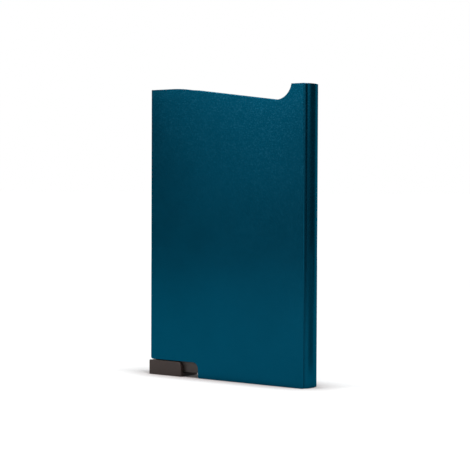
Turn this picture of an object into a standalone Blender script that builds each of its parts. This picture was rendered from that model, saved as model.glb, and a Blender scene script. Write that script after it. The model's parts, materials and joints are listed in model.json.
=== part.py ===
# Slim aluminium card holder: an extruded case with a sloping mouth, a side slider in a
# window at its lower left corner, and a stepped ejector lever that lifts the cards as a fan.
# Units are metres, +Z is up, the front face looks towards -Y and the slider is on the -X side.
# Every piece is drawn from the case's lower left front corner: X along the width, Y from the
# front face inwards, Z up from the foot. One empty carries that corner to its place.

import math

import bmesh
import bpy
from mathutils import Matrix, Vector

# Case: one length of extruded tube with flat faces and crowned narrow sides
CASE_HEIGHT = 0.0960
CASE_DEPTH = 0.0078
FACE_WALL = 0.0008
SIDE_WALL = 0.0011
SIDE_CROWN = 0.00085
CASE_EDGE_RADIUS = 0.0002
BORE_EDGE_RADIUS = 0.0003
GROOVE_SETBACK = 0.00035
GROOVE_WIDTH = 0.00085
GROOVE_DEPTH = 0.0005
GROOVE_FLOOR_RADIUS = 0.00015

# Mouth: a level stretch, a slope and a round thumb notch
MOUTH_LEVEL = 0.0129
MOUTH_BEND_RADIUS = 0.0550
NOTCH_RADIUS = 0.0060
NOTCH_DEPTH = 0.0049
NOTCH_TO_SIDE = 0.0049

# Window at the foot, where the slider runs
WINDOW_LENGTH = 0.0205
WINDOW_HEIGHT = 0.00515
WINDOW_FILLET = 0.0022
WINDOW_LIP_RADIUS = 0.0005
WINDOW_CORNER_RADIUS = 0.0008

# Gaps between pieces, and how far a cutter runs past what it cuts
FIT_GAP = 0.00025
RUN_GAP = 0.0003
CUT_OVERRUN = 0.0010

# Cards that the holder is made for
CARD_WIDTH = 0.05398
CARD_PLAY = 0.0004

# Slider: a channel that wraps the foot of the base
SLIDER_PROUD = 0.0005
SLIDER_LENGTH = 0.01415
SLIDER_WEB = 0.0013
SLIDER_NOSE_RADIUS = 0.0017
SLIDER_EDGE_RADIUS = 0.0003
EAR_LENGTH = 0.0028
BARB_HEIGHT = 0.0008
DRIVE_PIN_RADIUS = 0.0007
DRIVE_PIN_FIT = 0.0001

# Base: the moulding that closes the foot and carries the lever
BASE_WALL = 0.0006
BASE_FLOOR = 0.0009
BASE_PLATE = 0.0012
BASE_CURB = 0.0018
DECK_TOP = 0.0086
DECK_SETBACK = 0.0012
DECK_RIB = 0.0010
DECK_POCKET_DEPTH = 0.0050
DECK_POCKET_COUNT = 3
BASE_CORNER_RADIUS = 0.0008
CHEEK_CROWN = 0.0007

# Ejector lever
LEVER_SWING = math.radians(38.0)
PIN_DROP = 0.0094
PIN_LEAD = 0.0012
HUB_RADIUS = 0.0014
PIVOT_PIN_RADIUS = 0.0007
PIVOT_PIN_FIT = 0.0001
PIVOT_RUN_FIT = 0.00015
CAM_SLOT_PLAY = 0.00015
FORK_TAIL = 0.00075
FORK_TINE = 0.0006
ARM_REACH = 0.0338
ARM_ROOT = 0.0058
ARM_TIP_HEIGHT = 0.0026
ARM_ROOT_HEIGHT = 0.0044
ARM_TIP_RADIUS = 0.0009
WEB_STEP_DOWN = 0.0002
WEB_LAP = 0.0020
STEP_COUNT = 5
STEP_LENGTH = 0.0049

# Shares of the base bay's depth that the lever's web, an ear and the drive pin's end take
WEB_SHARE = 0.31
EAR_SHARE = 0.145
PIN_STAND_SHARE = 0.065

# Side rails that centre the cards
LEFT_RAIL_THICKNESS = 0.00375
RIGHT_RAIL_THICKNESS = 0.00217
RAIL_SETBACK = 0.0015
RAIL_LEAD_IN = 0.0010
RAIL_WEB = 0.0010
RAIL_END_WALL = 0.0020

# Felt pads that hold the cards by friction
PAD_WIDTH = 0.0080
PAD_LENGTH = 0.0220
PAD_THICKNESS = 0.00045
PAD_GLUE_LINE = 0.0001
PAD_SIDE_INSET = 0.0050
PAD_TOP_INSET = 0.0040
PAD_CORNER_RADIUS = 0.0015

# Narrow bevels that take the sharpness off cut and moulded edges
CASE_BEVEL = 0.0001
MOULDED_BEVEL = 0.00015
PIN_BEVEL = 0.00012
CASE_BEVEL_FROM = math.radians(80.0)
MOULDED_BEVEL_FROM = math.radians(50.0)

# Facet counts
BEVEL_STEPS = 2
SMALL_ARC_STEPS = 4
CROWN_STEPS = 16
BEND_STEPS = 12
NOTCH_STEPS = 24
FILLET_STEPS = 8
ROUND_STEPS = 24
CAM_STEPS = 10

# Places worked out from the sizes above; the cards set the width of the flat faces
SEAT_LEFT = SIDE_WALL + FIT_GAP
POCKET_LEFT = SEAT_LEFT + LEFT_RAIL_THICKNESS
POCKET_RIGHT = POCKET_LEFT + CARD_WIDTH + CARD_PLAY
SEAT_RIGHT = POCKET_RIGHT + RIGHT_RAIL_THICKNESS
CASE_WIDTH = SEAT_RIGHT + FIT_GAP + SIDE_WALL
SEAT_FRONT = FACE_WALL + FIT_GAP
SEAT_REAR = CASE_DEPTH - FACE_WALL - FIT_GAP
MIDDLE = CASE_DEPTH / 2
CROWN_RADIUS = (MIDDLE ** 2 + SIDE_CROWN ** 2) / (2 * SIDE_CROWN)
CROWN_HALF_ANGLE = math.asin(MIDDLE / CROWN_RADIUS)
BAY_LEFT = SEAT_LEFT + BASE_WALL
BAY_FRONT = SEAT_FRONT + BASE_WALL
BAY_REAR = SEAT_REAR - BASE_WALL
BAY_DEPTH = BAY_REAR - BAY_FRONT

SLIDER_LEFT = -SLIDER_PROUD
SLIDER_RIGHT = SLIDER_LEFT + SLIDER_LENGTH
SLIDER_TOP = WINDOW_HEIGHT - RUN_GAP
SLIDER_PLATE_INNER = SEAT_FRONT - RUN_GAP
SLIDER_TRAVEL = WINDOW_LENGTH - SLIDER_RIGHT - FIT_GAP

BASE_UNDERSIDE = SLIDER_WEB + RUN_GAP
BAY_FLOOR = BASE_UNDERSIDE + BASE_FLOOR
STEP_FACE = WINDOW_LENGTH + FIT_GAP

PIVOT_X = BAY_LEFT + RUN_GAP + HUB_RADIUS
PIN_X = PIVOT_X + PIN_LEAD
CAM_HALF_WIDTH = DRIVE_PIN_RADIUS + CAM_SLOT_PLAY
WEB_THICKNESS = BAY_DEPTH * WEB_SHARE
EAR_THICKNESS = BAY_DEPTH * EAR_SHARE
EAR_INNER = MIDDLE - WEB_THICKNESS / 2 - FIT_GAP
EAR_OUTER = EAR_INNER - EAR_THICKNESS
DRIVE_PIN_FRONT = EAR_OUTER - BAY_DEPTH * PIN_STAND_SHARE
STEP_WIDTH = (BAY_DEPTH - 2 * FIT_GAP) / STEP_COUNT
ARM_TOP = DECK_TOP - RUN_GAP


def cam_point(share):
    """Place of the drive pin's centre in the lever's own frame, at a share of the stroke."""
    turn = Matrix.Rotation(-LEVER_SWING * share, 2)
    return turn @ Vector((PIN_LEAD + SLIDER_TRAVEL * share, -PIN_DROP))


FORK_REACH = FORK_TAIL - cam_point(1.0).y
PIVOT_Z = BAY_FLOOR + RUN_GAP + FORK_REACH
PIN_Z = PIVOT_Z - PIN_DROP
EAR_TOP = PIN_Z + EAR_LENGTH / 2
COLUMN_TOP = PIVOT_Z + HUB_RADIUS + CHEEK_CROWN
DECK_LEFT = PIVOT_X + ARM_REACH + DECK_SETBACK


def clear_scene():
    for old in list(bpy.data.objects):
        bpy.data.objects.remove(old, do_unlink=True)


def finish_material(name, colour, roughness, metallic):
    material = bpy.data.materials.new(name)
    material.use_nodes = True
    shader = material.node_tree.nodes["Principled BSDF"]
    shader.inputs["Base Color"].default_value = (*colour, 1.0)
    shader.inputs["Roughness"].default_value = roughness
    shader.inputs["Metallic"].default_value = metallic
    return material


def arc(centre, radius, start, end, steps):
    """Points on an arc about centre, from the start angle to the end angle."""
    points = []
    for index in range(steps + 1):
        angle = start + (end - start) * index / steps
        points.append((centre[0] + radius * math.cos(angle), centre[1] + radius * math.sin(angle)))
    return points


def circle(centre, radius):
    return arc(centre, radius, 0.0, math.tau, ROUND_STEPS)[:-1]


def rounded(corners, steps=SMALL_ARC_STEPS):
    """An outline from (x, y, radius) corners, each corner turned into an arc of its radius."""
    points = []
    for index, (x, y, radius) in enumerate(corners):
        corner = Vector((x, y))
        if radius <= 0.0:
            points.append((x, y))
            continue
        back = (Vector(corners[index - 1][:2]) - corner).normalized()
        ahead = (Vector(corners[(index + 1) % len(corners)][:2]) - corner).normalized()
        half = back.angle(ahead) / 2
        reach = radius / math.tan(half)
        centre = corner + (back + ahead).normalized() * radius / math.sin(half)
        first = corner + back * reach - centre
        last = corner + ahead * reach - centre
        start = math.atan2(first.y, first.x)
        turn = math.remainder(math.atan2(last.y, last.x) - start, math.tau)
        points += arc(centre, radius, start, start + turn, steps)
    return points


def prism(name, outline, low, high, axis, holes=()):
    """A closed solid: a flat outline extruded from low to high along the Y or the Z axis."""
    mesh = bpy.data.meshes.new(name)
    build = bmesh.new()
    loops = []
    for loop in (outline, *holes):
        placed = [(a, low, b) if axis == "Y" else (a, b, low) for a, b in loop]
        verts = [build.verts.new(point) for point in placed]
        edges = [build.edges.new((verts[i - 1], verts[i])) for i in range(len(verts))]
        loops.append((verts, edges))
    if holes:
        all_edges = [edge for verts, edges in loops for edge in edges]
        faces = bmesh.ops.triangle_fill(build, use_beauty=True, edges=all_edges)["geom"]
        faces = [item for item in faces if isinstance(item, bmesh.types.BMFace)]
    else:
        faces = [build.faces.new(loops[0][0])]
    grown = bmesh.ops.extrude_face_region(build, geom=faces, use_keep_orig=True)["geom"]
    shift = Vector((0, high - low, 0)) if axis == "Y" else Vector((0, 0, high - low))
    moved = [item for item in grown if isinstance(item, bmesh.types.BMVert)]
    bmesh.ops.translate(build, verts=moved, vec=shift)
    bmesh.ops.recalc_face_normals(build, faces=build.faces)
    build.to_mesh(mesh)
    build.free()
    return mesh


def box(name, low, high):
    """A plain block between two opposite corners."""
    outline = [(low[0], low[1]), (high[0], low[1]), (high[0], high[1]), (low[0], high[1])]
    return prism(name, outline, low[2], high[2], "Z")


def turn_along_x(mesh):
    """Turns a prism drawn in plan and extruded along Z so that it is drawn in Y-Z and runs along X."""
    mesh.transform(Matrix(((0, 0, 1, 0), (1, 0, 0, 0), (0, 1, 0, 0), (0, 0, 0, 1))))


def place(name, mesh, carrier, material, origin=(0.0, 0.0, 0.0)):
    """Makes a named piece whose own origin lies at the given point of the case's corner frame."""
    mesh.transform(Matrix.Translation(-Vector(origin)))
    mesh.shade_smooth()
    mesh.set_sharp_from_angle(angle=math.radians(32))
    mesh.materials.clear()
    mesh.materials.append(material)
    piece = bpy.data.objects.new(name, mesh)
    bpy.context.scene.collection.objects.link(piece)
    piece.parent = carrier
    piece.location = origin
    return piece


def change(piece, mesh, operation):
    """Cuts a mesh out of a piece, or joins it on, with a Boolean."""
    tool = bpy.data.objects.new(mesh.name, mesh)
    bpy.context.scene.collection.objects.link(tool)
    tool.parent = piece.parent
    tool.hide_render = True
    tool.display_type = "WIRE"
    step = piece.modifiers.new(mesh.name, "BOOLEAN")
    step.operation = operation
    step.solver = "EXACT"
    step.object = tool
    return piece


def cut(piece, mesh):
    return change(piece, mesh, "DIFFERENCE")


def join(piece, mesh):
    return change(piece, mesh, "UNION")


def ease(piece, width, from_angle):
    """Takes the sharpness off each edge that turns by more than an angle at this stage."""
    step = piece.modifiers.new("eased_edges", "BEVEL")
    step.width = width
    step.segments = BEVEL_STEPS
    step.limit_method = "ANGLE"
    step.angle_limit = from_angle
    step.use_clamp_overlap = False


def groove_outline(centre, angle):
    """A square groove's (x, y, radius) corners, turned to its place on the right side's crown."""
    half = GROOVE_WIDTH / 2
    rim = math.sqrt(CROWN_RADIUS ** 2 - half ** 2)
    floor = rim - GROOVE_DEPTH
    turn = Matrix.Rotation(angle, 2)
    corners = []
    for x, y, radius in ((rim, -half, 0.0), (floor, -half, GROOVE_FLOOR_RADIUS),
                         (floor, half, GROOVE_FLOOR_RADIUS), (rim, half, 0.0)):
        corners.append((*(Vector(centre) + turn @ Vector((x, y))), radius))
    return corners


def side_outline():
    """The right side's (x, y, radius) corners: a crown with a groove near each of its edges."""
    centre = (CASE_WIDTH + SIDE_CROWN - CROWN_RADIUS, MIDDLE)
    half_groove = math.asin(GROOVE_WIDTH / 2 / CROWN_RADIUS)
    groove = CROWN_HALF_ANGLE - GROOVE_SETBACK / CROWN_RADIUS - half_groove
    crown = arc(centre, CROWN_RADIUS, half_groove - groove, groove - half_groove, CROWN_STEPS)
    bulge = [(x, y, 0.0) for x, y in crown[1:-1]]
    return groove_outline(centre, -groove) + bulge + groove_outline(centre, groove)


def case_section():
    """The tube's outer outline in plan, with its four corners eased."""
    edge = CASE_EDGE_RADIUS
    right = [(CASE_WIDTH, 0.0, edge), *side_outline(), (CASE_WIDTH, CASE_DEPTH, edge)]
    left = [(CASE_WIDTH - x, y, radius) for x, y, radius in reversed(right)]
    return rounded(right + left)


def bore_section():
    """The tube's inner outline in plan."""
    near_x, far_x = SIDE_WALL, CASE_WIDTH - SIDE_WALL
    near_y, far_y = FACE_WALL, CASE_DEPTH - FACE_WALL
    radius = BORE_EDGE_RADIUS
    return rounded([(near_x, near_y, radius), (far_x, near_y, radius),
                    (far_x, far_y, radius), (near_x, far_y, radius)])


def mouth_outline():
    """What is cut away over the mouth: level, then a slope that runs tangent into the notch."""
    notch = Vector((0.0, CASE_HEIGHT - NOTCH_DEPTH + NOTCH_RADIUS))
    rise = notch.y - CASE_HEIGHT
    half_chord = math.sqrt(NOTCH_RADIUS ** 2 - rise ** 2)
    notch.x = CASE_WIDTH - NOTCH_TO_SIDE - half_chord
    vertex = Vector((MOUTH_LEVEL, CASE_HEIGHT))
    way = notch - vertex
    slope = math.atan2(way.y, way.x) - math.asin(NOTCH_RADIUS / way.length)
    tangent = MOUTH_BEND_RADIUS * math.tan(-slope / 2)
    bend = (vertex.x - tangent, CASE_HEIGHT - MOUTH_BEND_RADIUS)
    top = CASE_HEIGHT + 2 * CUT_OVERRUN
    far = SIDE_CROWN + CUT_OVERRUN
    points = [(CASE_WIDTH + far, top), (-far, top), (-far, CASE_HEIGHT)]
    points += arc(bend, MOUTH_BEND_RADIUS, math.pi / 2, math.pi / 2 + slope, BEND_STEPS)
    points += arc(notch, NOTCH_RADIUS, slope - math.pi / 2, -math.asin(rise / NOTCH_RADIUS),
                  NOTCH_STEPS)
    points.append((CASE_WIDTH + far, CASE_HEIGHT))
    return points


def foot_outline():
    """What is cut away under the foot, with the slider's window: a fillet inside, an eased lip
    and the left corner cut off."""
    lip = WINDOW_LIP_RADIUS
    far = -SIDE_CROWN - CUT_OVERRUN
    low = -2 * CUT_OVERRUN
    points = [(far, low), (CASE_WIDTH - far, low), (CASE_WIDTH - far, 0.0)]
    points += arc((WINDOW_LENGTH + lip, lip), lip, -math.pi / 2, -math.pi, SMALL_ARC_STEPS)
    points += arc((WINDOW_LENGTH - WINDOW_FILLET, WINDOW_HEIGHT - WINDOW_FILLET), WINDOW_FILLET,
                  0.0, math.pi / 2, FILLET_STEPS)
    corner = WINDOW_CORNER_RADIUS
    points += arc((corner, WINDOW_HEIGHT + corner), corner, -math.pi / 2, -3 * math.pi / 4,
                  SMALL_ARC_STEPS)
    x, z = points[-1]
    points.append((far, z + x - far))
    return points


def make_case_tube(carrier, material):
    tube = prism("case_tube", case_section(), -CUT_OVERRUN, CASE_HEIGHT + CUT_OVERRUN, "Z",
                 [bore_section()])
    piece = place("case_tube", tube, carrier, material)
    near, far = -CUT_OVERRUN, CASE_DEPTH + CUT_OVERRUN
    cut(piece, prism("mouth_cutter", mouth_outline(), near, far, "Y"))
    cut(piece, prism("foot_cutter", foot_outline(), near, far, "Y"))
    ease(piece, CASE_BEVEL, CASE_BEVEL_FROM)
    return piece


def base_outline():
    """The base seen from the front: raised foot, floor plate, deck at the right, column at the left."""
    radius = BASE_CORNER_RADIUS
    curb = BASE_PLATE + BASE_CURB
    wall_end = STEP_FACE + BASE_PLATE
    wall_top = ARM_TOP
    far = -SIDE_CROWN / 2
    return rounded([
        (far, BASE_UNDERSIDE, 0.0), (STEP_FACE, BASE_UNDERSIDE, 0.0), (STEP_FACE, 0.0, 0.0),
        (SEAT_RIGHT, 0.0, 0.0), (SEAT_RIGHT, DECK_TOP, 0.0), (DECK_LEFT, DECK_TOP, 0.0),
        (DECK_LEFT, curb, radius), (wall_end, curb, radius), (wall_end, wall_top, radius),
        (POCKET_LEFT, wall_top, 0.0), (POCKET_LEFT, COLUMN_TOP, radius),
        (SEAT_LEFT, COLUMN_TOP, radius), (SEAT_LEFT, SLIDER_TOP, 0.0), (far, SLIDER_TOP, 0.0)])


def make_base_frame(carrier, material):
    piece = place("base_frame", prism("base_frame", base_outline(), SEAT_FRONT, SEAT_REAR, "Y"),
                  carrier, material)
    ease(piece, MOULDED_BEVEL, MOULDED_BEVEL_FROM)
    high = COLUMN_TOP + CUT_OVERRUN
    bay_top = EAR_TOP + RUN_GAP
    open_edge = POCKET_LEFT + BASE_WALL
    step_end = STEP_FACE + BASE_PLATE
    bay = [(BAY_LEFT, BAY_FLOOR), (step_end, BAY_FLOOR), (step_end, BASE_PLATE),
           (DECK_LEFT, BASE_PLATE), (DECK_LEFT, high), (open_edge, high), (open_edge, bay_top),
           (BAY_LEFT, bay_top)]
    cut(piece, prism("bay_cutter", bay, BAY_FRONT, BAY_REAR, "Y"))
    half = WEB_THICKNESS / 2 + FIT_GAP
    cut(piece, box("lever_slot_cutter", (BAY_LEFT, MIDDLE - half, bay_top - CUT_OVERRUN),
                   (open_edge, MIDDLE + half, high)))
    slot_half = MIDDLE - EAR_OUTER + FIT_GAP
    slot_start = PIN_X - EAR_LENGTH / 2 - FIT_GAP
    slot_end = PIN_X + EAR_LENGTH / 2 + SLIDER_TRAVEL + FIT_GAP
    cut(piece, box("ear_slot_cutter", (slot_start, MIDDLE - slot_half, BASE_UNDERSIDE - CUT_OVERRUN),
                   (slot_end, MIDDLE + slot_half, BAY_FLOOR + BASE_FLOOR)))
    hole = circle((PIVOT_X, PIVOT_Z), PIVOT_PIN_RADIUS + PIVOT_PIN_FIT)
    cut(piece, prism("pivot_hole_cutter", hole, 0.0, CASE_DEPTH, "Y"))
    pitch = (SEAT_RIGHT - DECK_LEFT - DECK_RIB) / DECK_POCKET_COUNT
    for index in range(DECK_POCKET_COUNT):
        left = DECK_LEFT + DECK_RIB + pitch * index
        cut(piece, box(f"deck_pocket_cutter_{index}",
                       (left, SEAT_FRONT + DECK_RIB, DECK_TOP - DECK_POCKET_DEPTH),
                       (left + pitch - DECK_RIB, SEAT_REAR - DECK_RIB, high)))
    return piece


def slider_section():
    """The slider's channel seen from its end, with rounded lower corners and open at the top."""
    near, far = -SLIDER_PROUD, CASE_DEPTH + SLIDER_PROUD
    inner_near, inner_far = SLIDER_PLATE_INNER, CASE_DEPTH - SLIDER_PLATE_INNER
    edge = SLIDER_EDGE_RADIUS
    return rounded([(near, 0.0, edge), (far, 0.0, edge), (far, SLIDER_TOP, 0.0),
                    (inner_far, SLIDER_TOP, 0.0), (inner_far, SLIDER_WEB, edge),
                    (inner_near, SLIDER_WEB, edge), (inner_near, SLIDER_TOP, 0.0),
                    (near, SLIDER_TOP, 0.0)])


def slider_channel():
    """The channel section extruded along X, longer at the left than the crown leaves it."""
    mesh = prism("slider", slider_section(), SLIDER_LEFT - SIDE_CROWN - CUT_OVERRUN, SLIDER_RIGHT, "Z")
    turn_along_x(mesh)
    return mesh


def nose_outline():
    """What is cut off the plates' upper right corners to round the slider's nose."""
    radius = SLIDER_NOSE_RADIUS
    corner_x, corner_z = SLIDER_RIGHT, SLIDER_TOP
    points = arc((corner_x - radius, corner_z - radius), radius, 0.0, math.pi / 2, FILLET_STEPS)
    points.append((corner_x - radius, corner_z + CUT_OVERRUN))
    points.append((corner_x + CUT_OVERRUN, corner_z + CUT_OVERRUN))
    points.append((corner_x + CUT_OVERRUN, corner_z - radius))
    return points


def crown_outline():
    """What is cut off the slider's left end in plan, to follow the case's crown."""
    radius = CROWN_RADIUS + SLIDER_PROUD
    reach = MIDDLE + SLIDER_PROUD + CUT_OVERRUN
    half = math.asin(reach / radius)
    far = SLIDER_LEFT - SIDE_CROWN - 2 * CUT_OVERRUN
    points = arc((CROWN_RADIUS - SIDE_CROWN, MIDDLE), radius, math.pi - half, math.pi + half,
                 CROWN_STEPS)
    return points + [(far, MIDDLE - reach), (far, MIDDLE + reach)]


def ear_outline():
    """An ear seen from the front: straight sides and a round head about the drive pin."""
    half = EAR_LENGTH / 2
    foot = SLIDER_WEB / 2
    head = arc((PIN_X, PIN_Z), half, 0.0, math.pi, ROUND_STEPS // 2)
    return [(PIN_X - half, foot), (PIN_X + half, foot), *head]


def barb_section(side):
    """A snap barb on an ear, in the Y-Z plane, that catches over the edge of the base's floor."""
    face = EAR_OUTER + EAR_THICKNESS / 2
    tip = BAY_FRONT + FIT_GAP
    foot = BAY_FLOOR + FIT_GAP
    points = [(face, foot), (tip, foot), (tip, foot + FIT_GAP), (EAR_OUTER, foot + BARB_HEIGHT),
              (face, foot + BARB_HEIGHT)]
    return [(y if side < 0 else CASE_DEPTH - y, z) for y, z in points]


def make_slider(carrier, material):
    origin = (SLIDER_LEFT, MIDDLE, 0.0)
    piece = place("slider", slider_channel(), carrier, material, origin)
    near, far = -SLIDER_PROUD - CUT_OVERRUN, CASE_DEPTH + SLIDER_PROUD + CUT_OVERRUN
    cut(piece, prism("nose_cutter", nose_outline(), near, far, "Y"))
    cut(piece, prism("crown_cutter", crown_outline(), -CUT_OVERRUN, SLIDER_TOP + CUT_OVERRUN, "Z"))
    ease(piece, MOULDED_BEVEL, MOULDED_BEVEL_FROM)
    barb_half = EAR_LENGTH / 2 - FIT_GAP
    for side, name in ((-1, "front"), (1, "rear")):
        low = EAR_OUTER if side < 0 else CASE_DEPTH - EAR_INNER
        join(piece, prism(f"{name}_ear", ear_outline(), low, low + EAR_THICKNESS, "Y"))
        barb = prism(f"{name}_barb", barb_section(side), PIN_X - barb_half, PIN_X + barb_half, "Z")
        turn_along_x(barb)
        join(piece, barb)
    hole = circle((PIN_X, PIN_Z), DRIVE_PIN_RADIUS + DRIVE_PIN_FIT)
    cut(piece, prism("drive_hole_cutter", hole, DRIVE_PIN_FRONT, CASE_DEPTH - DRIVE_PIN_FRONT, "Y"))
    return piece


def make_pin(name, radius, x, z, low, high, carrier, material):
    """A steel pin along Y at a place seen from the front, with eased ends."""
    mesh = prism(name, circle((x, z), radius), low, high, "Y")
    piece = place(name, mesh, carrier, material, (x, MIDDLE, z))
    ease(piece, PIN_BEVEL, MOULDED_BEVEL_FROM)
    return piece


def make_pins(carrier, material):
    make_pin("drive_pin", DRIVE_PIN_RADIUS, PIN_X, PIN_Z, DRIVE_PIN_FRONT, CASE_DEPTH - DRIVE_PIN_FRONT,
             carrier, material)
    make_pin("pivot_pin", PIVOT_PIN_RADIUS, PIVOT_X, PIVOT_Z, SEAT_FRONT, SEAT_REAR, carrier, material)


def arm_outline():
    """The lever's arm from the front at rest: level on top, tapering below towards its tip."""
    top = ARM_TOP
    left, right = PIVOT_X + ARM_ROOT, PIVOT_X + ARM_REACH
    tip = ARM_TIP_RADIUS
    return rounded([(left, top - ARM_ROOT_HEIGHT, tip), (right, top - ARM_TIP_HEIGHT, tip),
                    (right, top, tip), (left, top, tip)])


def step_outline(reach):
    """What is cut off the arm beyond a shorter step, leaving that step a rounded tip."""
    top = ARM_TOP
    low = top - ARM_ROOT_HEIGHT - CUT_OVERRUN
    left, right = PIVOT_X + reach, PIVOT_X + ARM_REACH + CUT_OVERRUN
    radius = ARM_TIP_RADIUS
    high = top + CUT_OVERRUN
    points = [(left, low), (right, low), (right, high), (left - radius, high)]
    points += arc((left - radius, top - radius), radius, math.pi / 2, 0.0, SMALL_ARC_STEPS)
    return points


def web_outline():
    """The lever's thin web from the front at rest: hub, neck, plate, and a fork open below."""
    top = ARM_TOP - WEB_STEP_DOWN
    low = PIVOT_Z - FORK_REACH
    left = PIVOT_X + cam_point(1.0).x - CAM_HALF_WIDTH - FORK_TINE
    end = PIVOT_X + ARM_ROOT + WEB_LAP
    neck = PIVOT_X + HUB_RADIUS
    side = PIVOT_X - HUB_RADIUS
    plate_end = PIVOT_X + ARM_ROOT - WEB_LAP / 2
    lean = ARM_TOP - ARM_ROOT_HEIGHT / 2
    points = arc((PIVOT_X, PIVOT_Z), HUB_RADIUS, 0.0, math.pi, ROUND_STEPS // 2)
    points += [(side, top), (left, low), (plate_end, low), (end, lean), (end, top)]
    points.append((neck, top))
    return points


def cam_slot_outline():
    """The fork's slot: the drive pin's path in the lever's frame, widened by the pin and its play."""
    centres = [cam_point(index / CAM_STEPS) for index in range(CAM_STEPS + 1)]
    tail = centres[-1] + (centres[-1] - centres[-2]).normalized() * (FORK_TAIL + CUT_OVERRUN)
    centres.append(tail)
    left_side, right_side = [], []
    for index, centre in enumerate(centres):
        before, after = centres[max(index - 1, 0)], centres[min(index + 1, len(centres) - 1)]
        way = (after - before).normalized()
        normal = Vector((-way.y, way.x)) * CAM_HALF_WIDTH
        left_side.append(centre - normal)
        right_side.append(centre + normal)
    first = centres[1] - centres[0]
    heading = math.atan2(first.y, first.x)
    cap = arc(centres[0], CAM_HALF_WIDTH, heading + math.pi / 2, heading + 3 * math.pi / 2,
              ROUND_STEPS // 2)
    points = cap[1:-1] + left_side + right_side[::-1]
    return [(PIVOT_X + x, PIVOT_Z + y) for x, y in points]


def make_ejector_lever(carrier, material):
    half = STEP_COUNT * STEP_WIDTH / 2
    origin = (PIVOT_X, MIDDLE, PIVOT_Z)
    arm = prism("ejector_lever", arm_outline(), MIDDLE - half, MIDDLE + half, "Y")
    piece = place("ejector_lever", arm, carrier, material, origin)
    for index in range(STEP_COUNT - 1):
        reach = ARM_REACH - STEP_LENGTH * (STEP_COUNT - 1 - index)
        edge = MIDDLE - half + STEP_WIDTH * (index + 1)
        cut(piece, prism(f"step_cutter_{index}", step_outline(reach),
                         MIDDLE - half - CUT_OVERRUN, edge, "Y"))
    ease(piece, MOULDED_BEVEL, MOULDED_BEVEL_FROM)
    web_half = WEB_THICKNESS / 2
    join(piece, prism("lever_web", web_outline(), MIDDLE - web_half, MIDDLE + web_half, "Y"))
    near, far = MIDDLE - web_half - CUT_OVERRUN, MIDDLE + web_half + CUT_OVERRUN
    cut(piece, prism("cam_slot_cutter", cam_slot_outline(), near, far, "Y"))
    hole = circle((PIVOT_X, PIVOT_Z), PIVOT_PIN_RADIUS + PIVOT_RUN_FIT)
    cut(piece, prism("hub_hole_cutter", hole, near, far, "Y"))
    return piece


def make_side_rail(name, left, right, foot, pocket_side, carrier, material):
    """A guide strip between a case side and the cards, hollowed on its hidden side."""
    top = CASE_HEIGHT - RAIL_SETBACK
    lead = RAIL_LEAD_IN
    corners = [(left, foot), (right, foot), (right, top), (left, top)]
    if pocket_side > 0:
        corners[2:3] = [(right, top - 2 * lead), (right - lead, top)]
    else:
        corners[3:] = [(left + lead, top), (left, top - 2 * lead)]
    piece = place(name, prism(name, corners, SEAT_FRONT, SEAT_REAR, "Y"), carrier, material)
    if pocket_side > 0:
        near, far = left - CUT_OVERRUN, right - RAIL_WEB
    else:
        near, far = left + RAIL_WEB, right + CUT_OVERRUN
    cut(piece, box(f"{name}_hollow_cutter", (near, SEAT_FRONT + RAIL_WEB, foot + RAIL_END_WALL),
                   (far, SEAT_REAR - RAIL_WEB, top - RAIL_END_WALL)))
    ease(piece, MOULDED_BEVEL, MOULDED_BEVEL_FROM)
    return piece


def make_side_rails(carrier, material):
    left_foot, right_foot = COLUMN_TOP + FIT_GAP, DECK_TOP + FIT_GAP
    make_side_rail("left_side_rail", SEAT_LEFT, POCKET_LEFT, left_foot, 1, carrier, material)
    make_side_rail("right_side_rail", POCKET_RIGHT, SEAT_RIGHT, right_foot, -1, carrier, material)


def make_grip_pad(name, left, front, carrier, material):
    """A thin felt pad glued to a wide wall, with rounded corners."""
    top = CASE_HEIGHT - NOTCH_DEPTH - PAD_TOP_INSET
    low = top - PAD_LENGTH
    radius = PAD_CORNER_RADIUS
    outline = rounded([(left, low, radius), (left + PAD_WIDTH, low, radius),
                       (left + PAD_WIDTH, top, radius), (left, top, radius)])
    return place(name, prism(name, outline, front, front + PAD_THICKNESS, "Y"), carrier, material)


def make_grip_pads(carrier, material):
    front_wall = FACE_WALL + PAD_GLUE_LINE
    rear_wall = CASE_DEPTH - FACE_WALL - PAD_GLUE_LINE - PAD_THICKNESS
    left = POCKET_LEFT + PAD_SIDE_INSET
    right = POCKET_RIGHT - PAD_SIDE_INSET - PAD_WIDTH
    for wall, front in (("front", front_wall), ("rear", rear_wall)):
        for side, edge in (("left", left), ("right", right)):
            make_grip_pad(f"{wall}_{side}_grip_pad", edge, front, carrier, material)


def main():
    clear_scene()
    corner = bpy.data.objects.new("case_corner", None)
    bpy.context.scene.collection.objects.link(corner)
    corner.location = ((SLIDER_PROUD - CASE_WIDTH) / 2, -CASE_DEPTH / 2, 0.0)

    anodised = finish_material("anodised_aluminium", (0.003, 0.045, 0.085), 0.42, 0.85)
    slider_plastic = finish_material("moulded_abs", (0.054, 0.047, 0.040), 0.5, 0.0)
    base_plastic = finish_material("moulded_base_abs", (0.054, 0.047, 0.040), 0.5, 0.0)
    lever_plastic = finish_material("moulded_acetal", (0.030, 0.030, 0.032), 0.35, 0.0)
    rail_plastic = finish_material("moulded_rail_abs", (0.030, 0.030, 0.030), 0.5, 0.0)
    pin_steel = finish_material("drawn_steel", (0.55, 0.56, 0.57), 0.28, 1.0)
    felt = finish_material("pressed_felt", (0.020, 0.020, 0.022), 0.95, 0.0)

    make_case_tube(corner, anodised)
    make_base_frame(corner, base_plastic)
    make_slider(corner, slider_plastic)
    make_ejector_lever(corner, lever_plastic)
    make_pins(corner, pin_steel)
    make_side_rails(corner, rail_plastic)
    make_grip_pads(corner, felt)


main()
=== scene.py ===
"""Looks for a slim metal card holder: an anodised case, a moulded slider and the parts inside."""

import json
import math

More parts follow.
